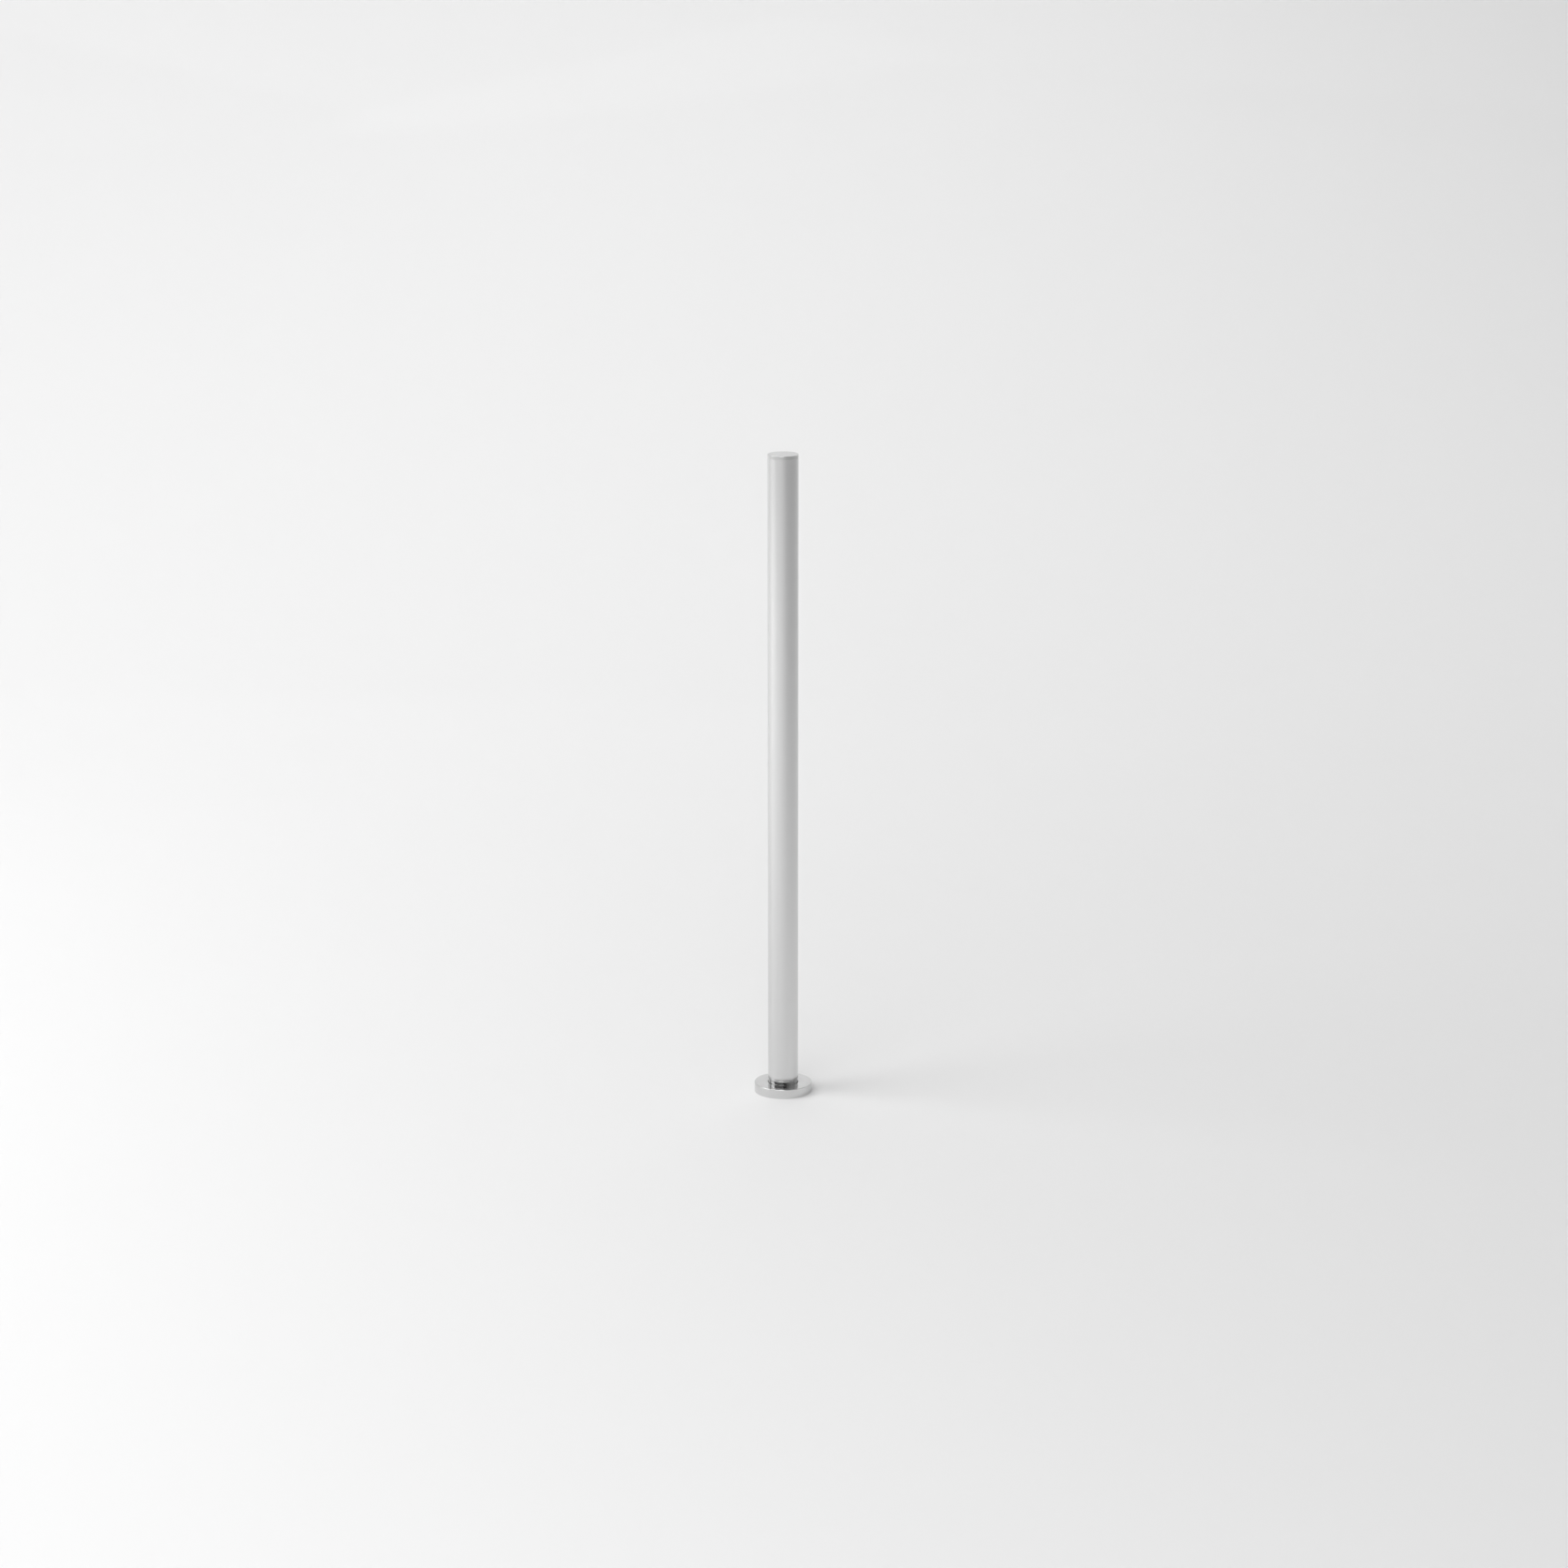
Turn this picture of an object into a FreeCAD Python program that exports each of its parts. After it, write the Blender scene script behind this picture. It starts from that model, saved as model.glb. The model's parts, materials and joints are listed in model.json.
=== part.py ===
"""A slim steel safety bollard: a satin tube on a short polished neck, bolted to a floor plate under a round cover.

Frame: +Z runs up the post, and the origin is the centre of its footprint on the floor. +Y is the rear, where the
two screws that hold the tube are. All lengths are millimetres.

From the floor up: a rubber gasket, a steel plate with four anchor holes, and a turned foot whose polished neck
stands on the plate and whose spigot fills the lower end of the tube. One countersunk screw from below holds the
foot to the plate, and two dowels keep it from turning. The cover is a shallow turned cap with a bore wider than
the tube, so it slides up the post to bare the anchor holes. A turned cap on two sealing rings closes the tube.
"""

import FreeCAD, Part
import math
import os

Vector = FreeCAD.Vector
UP = Vector(0, 0, 1)
REAR = Vector(0, 1, 0)
FULL_TURN = 360.0

# ---------------------------------------------------------------- driving dimensions

TOTAL_HEIGHT = 1036.0

TUBE_OD = 48.3  # 1 1/2 inch nominal tube
TUBE_WALL = 2.6
TUBE_LIP_RADIUS = 0.6  # rounded outer edge at the tube's lower end
TUBE_TOP_BREAK = 0.25  # broken edge where the tube meets the cap

COVER_OD = 92.0
COVER_HEIGHT = 15.0
COVER_SKIRT = 1.5
COVER_TOP = 2.0
COVER_BORE = 48.9  # 0.3 mm clear of the tube all round
COVER_RIM_RADIUS = 0.8
COVER_BORE_BREAK = 0.3
COVER_SKIRT_BREAK = 0.4

NECK_OD = 47.2
SHADOW_GAP = 6.0  # height of neck showing between the cover and the tube
SPIGOT_CLEARANCE = 0.05
SPIGOT_LENGTH = 60.0
SPIGOT_CHAMFER = 2.0
FOOT_RELIEF_D = 24.0  # bore that lightens the spigot from above
FOOT_RELIEF_DEPTH = 30.0

GASKET_THICKNESS = 1.5
PLATE_OD = 86.0
PLATE_THICKNESS = 8.0
PLATE_CHAMFER = 0.5

ANCHOR_COUNT = 4
ANCHOR_CIRCLE_D = 66.0
ANCHOR_HOLE_D = 9.0  # for M8 countersunk anchors
ANCHOR_SINK_D = 16.4
ANCHOR_FIRST_ANGLE = 45.0

CAP_THICKNESS = 4.5
CAP_RIM_RADIUS = 0.8
CAP_SKIRT_LENGTH = 16.0
CAP_SKIRT_CLEARANCE = 0.1
CAP_BORE_D = 34.0
CAP_SKIRT_CHAMFER = 0.8

# Countersunk hexagon socket screws: thread, head, head height, length, key size, key depth
FOOT_SCREW = {"thread": 16.0, "head": 30.0, "head_height": 7.5, "length": 40.0, "key": 10.0, "key_depth": 5.0}
TUBE_SCREW = {"thread": 6.0, "head": 12.0, "head_height": 3.3, "length": 10.0, "key": 4.0, "key_depth": 2.3}
SCREW_CLEARANCE = 0.05
FOOT_SCREW_RECESS = 0.2  # head sits this far above the plate's underside
TUBE_SCREW_HEIGHTS = {"lower": 40.0, "upper": 66.0}

DOWEL_D = 5.0
DOWEL_LENGTH = 14.0
DOWEL_FIT = 0.01
DOWEL_OFFSET = 18.0
DOWEL_CHAMFER = 0.5
DOWEL_SIDES = {"left": -1, "right": 1}

SEAL_CORD = 2.5  # cord of the rings inside the tube
COVER_SEAL_CORD = 3.0
SEAL_CLEARANCE = 0.02
COVER_SEAL_CLEARANCE = 0.1
GROOVE_SIDE_ROOM = 0.25
GROOVE_DEPTH_ROOM = 0.05

# ---------------------------------------------------------------- places worked out from them

TUBE_R = TUBE_OD / 2
TUBE_BORE_R = TUBE_R - TUBE_WALL
PLATE_BOTTOM = GASKET_THICKNESS
PLATE_TOP = PLATE_BOTTOM + PLATE_THICKNESS
TUBE_BOTTOM = COVER_HEIGHT + SHADOW_GAP
TUBE_TOP = TOTAL_HEIGHT - CAP_THICKNESS
SPIGOT_R = TUBE_BORE_R - SPIGOT_CLEARANCE
SPIGOT_TOP = TUBE_BOTTOM + SPIGOT_LENGTH
CAP_SKIRT_R = TUBE_BORE_R - CAP_SKIRT_CLEARANCE
CAP_SKIRT_BOTTOM = TUBE_TOP - CAP_SKIRT_LENGTH
COVER_INNER_R = COVER_OD / 2 - COVER_SKIRT
FOOT_SCREW_FACE = PLATE_BOTTOM + FOOT_SCREW_RECESS

# The flat head of a tube screw lies just under the tube's surface at the head's two sides.
TUBE_SCREW_FACE = math.sqrt(TUBE_R**2 - (TUBE_SCREW["head"] / 2) ** 2) - SCREW_CLEARANCE

FOOT_SEAL_HEIGHTS = {"lower": TUBE_BOTTOM + 6.0, "upper": SPIGOT_TOP - 5.5}
CAP_SEAL_HEIGHTS = {"lower": CAP_SKIRT_BOTTOM + 4.0, "upper": CAP_SKIRT_BOTTOM + 11.0}
COVER_SEAL_HEIGHT = PLATE_BOTTOM + 3.2


# ---------------------------------------------------------------- shapes that repeat


def turned(outline):
    """Revolves a closed outline about the Z axis. A point is (radius, height) or (radius, height, corner radius)."""
    edges = []
    first_start = None
    last_end = None
    count = len(outline)
    for i in range(count):
        before, corner, after = outline[i - 1], outline[i], outline[(i + 1) % count]
        here = Vector(corner[0], 0, corner[1])
        rounding = corner[2] if len(corner) > 2 else 0.0
        start = end = here
        if rounding:
            back = (Vector(before[0], 0, before[1]) - here).normalize()
            ahead = (Vector(after[0], 0, after[1]) - here).normalize()
            half_angle = back.getAngle(ahead) / 2
            reach = rounding / math.tan(half_angle)
            start = here + back * reach
            end = here + ahead * reach
            bisector = (back + ahead).normalize()
            centre = here + bisector * (rounding / math.sin(half_angle))
            middle = centre - bisector * rounding
        if last_end is not None:
            edges.append(Part.LineSegment(last_end, start).toShape())
        if rounding:
            edges.append(Part.Arc(start, middle, end).toShape())
        first_start = first_start or start
        last_end = end
    edges.append(Part.LineSegment(last_end, first_start).toShape())
    return Part.Face(Part.Wire(edges)).revolve(Vector(0, 0, 0), UP, FULL_TURN)


def seal_ring(outer_r, cord, height):
    """A rubber ring of round section, drawn at the size it is squeezed to."""
    return Part.makeTorus(outer_r - cord / 2, cord / 2, Vector(0, 0, height), UP)


def seal_groove(outer_r, cord, height, depth_r):
    """The square groove for a ring, as the solid that a cutter removes: from depth_r out past outer_r."""
    width = cord + 2 * GROOVE_SIDE_ROOM
    base = Vector(0, 0, height - width / 2)
    wide = Part.makeCylinder(outer_r + cord, width, base, UP)
    return wide.cut(Part.makeCylinder(depth_r, width, base, UP))


def groove_floor(ring_outer_r, cord):
    """Radius at the bottom of a groove that holds a ring of this outer radius."""
    return ring_outer_r - cord - GROOVE_DEPTH_ROOM


def at_angle(radius, degrees):
    """The point this far from the Z axis, at this angle from +X."""
    angle = math.radians(degrees)
    return Vector(radius * math.cos(angle), radius * math.sin(angle), 0)


def countersunk_screw(size, face, direction):
    """A hexagon socket screw whose flat head lies at face, and whose thread runs along direction."""
    head_r, thread_r = size["head"] / 2, size["thread"] / 2
    land = size["head_height"] - (head_r - thread_r)
    tip_chamfer = size["thread"] * 0.08
    outline = [
        (0, 0),
        (head_r, 0),
        (head_r, land),
        (thread_r, size["head_height"]),
        (thread_r, size["length"] - tip_chamfer),
        (thread_r - tip_chamfer, size["length"]),
        (0, size["length"]),
    ]
    screw = turned(outline)
    corner_r = size["key"] / 2 / math.cos(math.radians(30))
    corners = [at_angle(corner_r, 30 + 60 * side) for side in range(7)]
    socket = Part.Face(Part.makePolygon(corners)).extrude(UP * size["key_depth"])
    screw = screw.cut(socket)
    screw.Placement = FreeCAD.Placement(face, FreeCAD.Rotation(UP, direction))
    return screw


def screw_hole(size, face, direction, length):
    """The countersunk hole for a screw, as the solid that a cutter removes. It is also open above the head."""
    gap = SCREW_CLEARANCE
    head_r, thread_r = size["head"] / 2 + gap, size["thread"] / 2 + gap
    land = size["head_height"] - (head_r - thread_r)
    outline = [
        (0, -size["head"]),
        (head_r, -size["head"]),
        (head_r, land),
        (thread_r, size["head_height"]),
        (thread_r, length),
        (0, length),
    ]
    hole = turned(outline)
    hole.Placement = FreeCAD.Placement(face, FreeCAD.Rotation(UP, direction))
    return hole


def dowel_hole(side, bottom, top):
    """A dowel's hole between two heights, with the press fit drawn as a hair of room."""
    place = Vector(side * DOWEL_OFFSET, 0, bottom)
    return Part.makeCylinder(DOWEL_D / 2 + DOWEL_FIT, top - bottom, place, UP)


# ---------------------------------------------------------------- the pieces


def anchor_holes(bottom, top):
    """The four straight anchor holes between two heights."""
    holes = []
    for i in range(ANCHOR_COUNT):
        place = at_angle(ANCHOR_CIRCLE_D / 2, ANCHOR_FIRST_ANGLE + i * FULL_TURN / ANCHOR_COUNT)
        place.z = bottom
        holes.append(Part.makeCylinder(ANCHOR_HOLE_D / 2, top - bottom, place, UP))
    return holes


def anchor_sinks():
    """The conical seats for the anchor heads, sunk from the plate's top."""
    depth = (ANCHOR_SINK_D - ANCHOR_HOLE_D) / 2
    sinks = []
    for i in range(ANCHOR_COUNT):
        place = at_angle(ANCHOR_CIRCLE_D / 2, ANCHOR_FIRST_ANGLE + i * FULL_TURN / ANCHOR_COUNT)
        place.z = PLATE_TOP - depth
        sinks.append(Part.makeCone(ANCHOR_HOLE_D / 2, ANCHOR_SINK_D / 2, depth, place, UP))
    return sinks


def floor_gasket():
    """A rubber disc under the plate, with holes for the anchors and room for the foot screw's key."""
    disc = Part.makeCylinder(PLATE_OD / 2, GASKET_THICKNESS)
    key_room = Part.makeCylinder(FOOT_SCREW["head"] / 2 + 1.0, GASKET_THICKNESS)
    return disc.cut([key_room] + anchor_holes(0, GASKET_THICKNESS))


def base_plate():
    """The steel floor plate: countersunk below for the foot screw and above for the anchors."""
    outer_r = PLATE_OD / 2
    plate = turned(
        [
            (0, PLATE_BOTTOM),
            (outer_r - PLATE_CHAMFER, PLATE_BOTTOM),
            (outer_r, PLATE_BOTTOM + PLATE_CHAMFER),
            (outer_r, PLATE_TOP - PLATE_CHAMFER),
            (outer_r - PLATE_CHAMFER, PLATE_TOP),
            (0, PLATE_TOP),
        ]
    )
    ring_r = COVER_INNER_R - COVER_SEAL_CLEARANCE
    cuts = anchor_holes(PLATE_BOTTOM, PLATE_TOP) + anchor_sinks()
    cuts.append(seal_groove(outer_r, COVER_SEAL_CORD, COVER_SEAL_HEIGHT, groove_floor(ring_r, COVER_SEAL_CORD)))
    cuts.append(screw_hole(FOOT_SCREW, Vector(0, 0, FOOT_SCREW_FACE), UP, FOOT_SCREW["length"]))
    for side in DOWEL_SIDES.values():
        cuts.append(dowel_hole(side, PLATE_TOP - DOWEL_LENGTH / 2, PLATE_TOP))
    return plate.cut(cuts)


def foot():
    """The turned foot: a polished neck that stands on the plate, and a spigot that fills the tube's lower end."""
    neck_r = NECK_OD / 2
    body = turned(
        [
            (0, PLATE_TOP),
            (neck_r, PLATE_TOP),
            (neck_r, TUBE_BOTTOM),
            (SPIGOT_R, TUBE_BOTTOM),
            (SPIGOT_R, SPIGOT_TOP - SPIGOT_CHAMFER),
            (SPIGOT_R - SPIGOT_CHAMFER, SPIGOT_TOP),
            (FOOT_RELIEF_D / 2, SPIGOT_TOP),
            (FOOT_RELIEF_D / 2, SPIGOT_TOP - FOOT_RELIEF_DEPTH),
            (0, SPIGOT_TOP - FOOT_RELIEF_DEPTH),
        ]
    )
    thread_depth = FOOT_SCREW["length"] + 2.0
    cuts = [screw_hole(FOOT_SCREW, Vector(0, 0, FOOT_SCREW_FACE), UP, thread_depth)]
    ring_r = TUBE_BORE_R - SEAL_CLEARANCE
    for height in FOOT_SEAL_HEIGHTS.values():
        cuts.append(seal_groove(SPIGOT_R, SEAL_CORD, height, groove_floor(ring_r, SEAL_CORD)))
    for side in DOWEL_SIDES.values():
        cuts.append(dowel_hole(side, PLATE_TOP, PLATE_TOP + DOWEL_LENGTH / 2 + 0.5))
    for height in TUBE_SCREW_HEIGHTS.values():
        cuts.append(tube_screw_hole(height))
    return body.cut(cuts)


def tube_screw_hole(height):
    """The radial hole for a tube screw, cut through the tube's rear wall and into the spigot."""
    face = Vector(0, TUBE_SCREW_FACE, height)
    return screw_hole(TUBE_SCREW, face, REAR * -1, TUBE_SCREW["length"] + 0.5)


def tube_screw(height):
    """A small countersunk screw at the rear that ties the tube to the spigot."""
    return countersunk_screw(TUBE_SCREW, Vector(0, TUBE_SCREW_FACE, height), REAR * -1)


def dowel(side):
    """A hardened pin, half in the plate and half in the foot."""
    r, half = DOWEL_D / 2, DOWEL_LENGTH / 2
    pin = turned(
        [
            (0, -half),
            (r - DOWEL_CHAMFER, -half),
            (r, -half + DOWEL_CHAMFER),
            (r, half - DOWEL_CHAMFER),
            (r - DOWEL_CHAMFER, half),
            (0, half),
        ]
    )
    pin.translate(Vector(side * DOWEL_OFFSET, 0, PLATE_TOP))
    return pin


def post_tube():
    """The post itself: a drawn tube with a rounded lower lip and two countersunk holes at the rear."""
    tube = turned(
        [
            (TUBE_BORE_R, TUBE_BOTTOM),
            (TUBE_R, TUBE_BOTTOM, TUBE_LIP_RADIUS),
            (TUBE_R, TUBE_TOP - TUBE_TOP_BREAK),
            (TUBE_R - TUBE_TOP_BREAK, TUBE_TOP),
            (TUBE_BORE_R, TUBE_TOP),
        ]
    )
    return tube.cut([tube_screw_hole(height) for height in TUBE_SCREW_HEIGHTS.values()])


def top_cap():
    """The flat cap, as wide as the tube, with a hollow skirt that plugs it."""
    cap_bore_r = CAP_BORE_D / 2
    cap = turned(
        [
            (0, TUBE_TOP),
            (cap_bore_r, TUBE_TOP),
            (cap_bore_r, CAP_SKIRT_BOTTOM),
            (CAP_SKIRT_R - CAP_SKIRT_CHAMFER, CAP_SKIRT_BOTTOM),
            (CAP_SKIRT_R, CAP_SKIRT_BOTTOM + CAP_SKIRT_CHAMFER),
            (CAP_SKIRT_R, TUBE_TOP),
            (TUBE_R - TUBE_TOP_BREAK, TUBE_TOP),
            (TUBE_R, TUBE_TOP + TUBE_TOP_BREAK),
            (TUBE_R, TOTAL_HEIGHT, CAP_RIM_RADIUS),
            (0, TOTAL_HEIGHT),
        ]
    )
    floor_r = groove_floor(TUBE_BORE_R - SEAL_CLEARANCE, SEAL_CORD)
    return cap.cut([seal_groove(CAP_SKIRT_R, SEAL_CORD, height, floor_r) for height in CAP_SEAL_HEIGHTS.values()])


def base_cover():
    """The sliding cover: a flat polished top with a bore round the neck, and a plain skirt down to the floor."""
    outer_r, bore_r = COVER_OD / 2, COVER_BORE / 2
    return turned(
        [
            (COVER_INNER_R, 0, COVER_SKIRT_BREAK),
            (outer_r, 0),
            (outer_r, COVER_HEIGHT, COVER_RIM_RADIUS),
            (bore_r, COVER_HEIGHT, COVER_BORE_BREAK),
            (bore_r, COVER_HEIGHT - COVER_TOP),
            (COVER_INNER_R, COVER_HEIGHT - COVER_TOP),
        ]
    )


def pieces():
    """Every node's name and its solid."""
    inner_ring_r = TUBE_BORE_R - SEAL_CLEARANCE
    made = {
        "floor_gasket": floor_gasket(),
        "base_plate": base_plate(),
        "foot_screw": countersunk_screw(FOOT_SCREW, Vector(0, 0, FOOT_SCREW_FACE), UP),
        "foot": foot(),
        "post_tube": post_tube(),
        "top_cap": top_cap(),
        "base_cover": base_cover(),
        "cover_seal": seal_ring(COVER_INNER_R - COVER_SEAL_CLEARANCE, COVER_SEAL_CORD, COVER_SEAL_HEIGHT),
    }
    for name, side in DOWEL_SIDES.items():
        made["dowel_" + name] = dowel(side)
    for name, height in TUBE_SCREW_HEIGHTS.items():
        made["tube_screw_" + name] = tube_screw(height)
    for name, height in FOOT_SEAL_HEIGHTS.items():
        made["foot_seal_" + name] = seal_ring(inner_ring_r, SEAL_CORD, height)
    for name, height in CAP_SEAL_HEIGHTS.items():
        made["cap_seal_" + name] = seal_ring(inner_ring_r, SEAL_CORD, height)
    return made


def main():
    os.makedirs("parts", exist_ok=True)
    for name, shape in pieces().items():
        shape.exportStep(f"parts/{name}.step")
        box = shape.BoundBox
        print(f"{name:18s} solids {len(shape.Solids)}  valid {shape.isValid()}  volume {shape.Volume:10.1f} mm3"
              f"  z {box.ZMin:.2f} to {box.ZMax:.2f}")


main()
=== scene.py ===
import json
import math

import bmesh
import bpy
from mathutils import Matrix, Vector


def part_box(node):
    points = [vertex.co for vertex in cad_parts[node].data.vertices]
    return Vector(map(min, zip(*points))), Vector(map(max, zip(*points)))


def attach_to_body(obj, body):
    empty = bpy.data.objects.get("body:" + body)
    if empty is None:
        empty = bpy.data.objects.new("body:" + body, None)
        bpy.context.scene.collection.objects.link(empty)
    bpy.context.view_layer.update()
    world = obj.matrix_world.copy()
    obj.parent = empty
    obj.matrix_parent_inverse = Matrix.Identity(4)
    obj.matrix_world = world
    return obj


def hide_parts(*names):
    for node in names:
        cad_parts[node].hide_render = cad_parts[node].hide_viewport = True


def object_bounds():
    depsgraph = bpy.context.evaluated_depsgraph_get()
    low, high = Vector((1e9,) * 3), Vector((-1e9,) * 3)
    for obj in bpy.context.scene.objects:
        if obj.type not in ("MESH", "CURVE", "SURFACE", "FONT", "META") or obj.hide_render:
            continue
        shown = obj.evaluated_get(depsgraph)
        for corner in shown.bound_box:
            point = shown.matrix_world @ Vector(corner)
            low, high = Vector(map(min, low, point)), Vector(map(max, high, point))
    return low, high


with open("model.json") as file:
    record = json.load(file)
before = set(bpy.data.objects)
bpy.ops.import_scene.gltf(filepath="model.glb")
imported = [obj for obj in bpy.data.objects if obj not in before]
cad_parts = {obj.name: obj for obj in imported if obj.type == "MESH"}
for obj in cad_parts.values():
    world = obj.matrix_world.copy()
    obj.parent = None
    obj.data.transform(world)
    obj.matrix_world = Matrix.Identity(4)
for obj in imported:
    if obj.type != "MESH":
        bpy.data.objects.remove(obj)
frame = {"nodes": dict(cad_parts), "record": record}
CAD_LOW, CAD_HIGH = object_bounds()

# The looks of a slim steel safety bollard. Every length is in metres, in the CAD model's frame: +Z runs up
# the post, +Y is the rear, and the origin is the centre of the footprint.

MM = 0.001

# ---------------------------------------- sizes taken from the frame

TUBE_LOW, TUBE_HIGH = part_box("post_tube")
CAP_LOW, CAP_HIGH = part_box("top_cap")
COVER_LOW, COVER_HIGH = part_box("base_cover")
FOOT_LOW, FOOT_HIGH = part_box("foot")
PLATE_LOW, PLATE_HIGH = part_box("base_plate")
GASKET_LOW, GASKET_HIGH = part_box("floor_gasket")
DOWEL_LOW, DOWEL_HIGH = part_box("dowel_left")
MOUNTS = {mount["name"]: mount for mount in frame["record"]["mounts"]}

TUBE_R = TUBE_HIGH.x
COVER_R = COVER_HIGH.x
NECK_R = FOOT_HIGH.x
PLATE_R = PLATE_HIGH.x
SEAT_Z = TUBE_LOW.z  # where the tube sits on the foot
ANCHOR_R = MOUNTS["anchor_holes"]["dims"]["hole_r_mm"] * MM
ANCHOR_CIRCLE_R = MOUNTS["anchor_holes"]["dims"]["pcd_mm"] / 2 * MM
ANCHOR_COUNT = MOUNTS["anchor_holes"]["dims"]["count"]

# ---------------------------------------- sizes the boxes don't show, as in the CAD model

TUBE_WALL = 2.6 * MM
TUBE_LIP = 0.6 * MM
TUBE_TOP_BREAK = 0.25 * MM
COVER_SKIRT = 1.5 * MM
COVER_TOP = 2.0 * MM
COVER_BORE_R = 24.45 * MM
COVER_RIM = 0.8 * MM
COVER_BORE_BREAK = 0.3 * MM
COVER_SKIRT_BREAK = 0.4 * MM
CAP_RIM = 0.8 * MM
CAP_SKIRT_R = 21.45 * MM
CAP_BORE_R = 17.0 * MM
CAP_SKIRT_CHAMFER = 0.8 * MM
SPIGOT_R = 21.5 * MM
SPIGOT_CHAMFER = 2.0 * MM
RELIEF_R = 12.0 * MM
RELIEF_DEPTH = 30.0 * MM
PLATE_CHAMFER = 0.5 * MM
SINK_R = 8.2 * MM
GASKET_HOLE_R = 16.0 * MM
ANCHOR_FIRST_ANGLE = math.radians(45)
TUBE_BORE_R = TUBE_R - TUBE_WALL
COVER_INNER_R = COVER_R - COVER_SKIRT


def in_metres(sizes):
    """A screw's sizes, given in millimetres."""
    return {name: size * MM for name, size in sizes.items()}


# Radii of the head and the thread, the head's straight edge and whole height, and the hexagon key
FOOT_SCREW = in_metres({"head": 15.0, "land": 0.5, "head_height": 7.5, "thread": 8.0, "length": 40.0,
                        "key": 10.0, "key_depth": 5.0, "pitch": 2.0})
TUBE_SCREW = in_metres({"head": 6.0, "land": 0.3, "head_height": 3.3, "thread": 3.0, "length": 10.0,
                        "key": 4.0, "key_depth": 2.3, "pitch": 1.0})
SCREW_GAP = 0.05 * MM  # between a screw and its hole
FOOT_SCREW_SPARE = 2.0 * MM  # how much deeper than the screw its hole in the foot is
TUBE_SCREW_SPARE = 0.5 * MM
DOWEL_GAP = 0.01 * MM
DOWEL_SPARE = 0.5 * MM
SEAL_R = 1.25 * MM  # radius of a ring's section, inside the tube
COVER_SEAL_R = 1.5 * MM
GROOVE_SIDE = 0.25 * MM  # from a ring to each side of its groove
GROOVE_FLOOR = 0.05 * MM  # from a ring to the floor of its groove

# ---------------------------------------- small edges and marks that only these meshes have

TUBE_BORE_BREAK = 0.3 * MM
COVER_HEM_BREAK = 0.1 * MM
COVER_CORNER = 0.6 * MM  # inside, where the skirt meets the top
CAP_BORE_BREAK = 0.3 * MM
CAP_BORE_CORNER = 1.0 * MM
NECK_FOOT_BREAK = 0.3 * MM
NECK_TOP_BREAK = 0.2 * MM
RELIEF_BREAK = 0.4 * MM
RELIEF_CORNER = 2.0 * MM
GASKET_BREAK = 0.3 * MM
GROOVE_CORNER = 0.2 * MM
SCREW_HEAD_BREAK = 0.15 * MM
SCREW_TIP = 0.16  # the tip's taper, of the thread's radius
KEY_LEAD = 0.04  # the socket's lead-in, of the key
KEY_CONE = 0.15  # the drill point under the socket, of the key
THREAD_DEPTH = 0.6  # of the pitch
THREAD_VALLEY = 0.42  # half the valley's width, of the pitch
MOULD_LINE = 0.02 * MM

# ---------------------------------------- how fine the meshes are

ROUND_STEPS = 8  # steps round each rounded corner
SEGMENTS = 192  # sides of the large turned pieces
SMALL_SEGMENTS = 96  # sides of the small ones, a multiple of 6 for the hexagon sockets
RING_STEPS = 32  # sides of a ring's section, a multiple of 4 for the mould line
THREAD_STEPS = 8  # rings to one turn of a thread
TUBE_ROWS = 48  # rows round the tube's screw holes
COVE_STEPS = 48
FLAT_ANGLE = math.radians(28)  # faces that meet at more than this show a crisp edge
PAST = 1.0 * MM  # how far a cutter runs past the face that it opens
SINK_PAST = 0.1 * MM

# ---------------------------------------- looks

TUBE_COLOUR = (0.715, 0.715, 0.715)
SKIRT_COLOUR = (0.68, 0.68, 0.68)
POLISHED_COLOUR = (0.70, 0.70, 0.70)
PLATE_COLOUR = (0.52, 0.52, 0.51)
SCREW_COLOUR = (0.46, 0.46, 0.45)
RUBBER_COLOUR = (0.035, 0.035, 0.036)
FLOOR_COLOUR = (0.80, 0.80, 0.80)
TUBE_ROUGHNESS = 0.24
SKIRT_ROUGHNESS = 0.13
TUBE_GRAIN = 0.5
SKIRT_GRAIN = 0.15
HAIRLINE_STRETCH = 0.25
QUARTER_TURN = 0.25  # turns the stretch of the highlight across the hairlines
SKIRT_REACH = 0.8  # the outer part of the cover's rim, of its radius, that may be satin
SKIRT_SLOPE = 0.7  # a face whose normal rises more than this is polished

# ---------------------------------------- the studio, in metres, and its panels, in watts

COVE_START = 2.2
COVE_RADIUS = 3.0
COVE_TOP = 7.0
FLOOR_REACH = 40.0
PANEL_SIZE = 3.5
PANELS = {  # the middle of each panel, and its power
    "left_panel": ((-4.5, -0.6, 3.6), 182),
    "back_left_panel": ((-2.2, 3.2, 3.5), 22),
    "back_panel": ((0.0, 3.2, 3.5), 32),
    "back_right_panel": ((3.8, 1.2, 3.5), 18),
    "front_panel": ((-1.3, -4.6, 4.0), 114),
}

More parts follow.
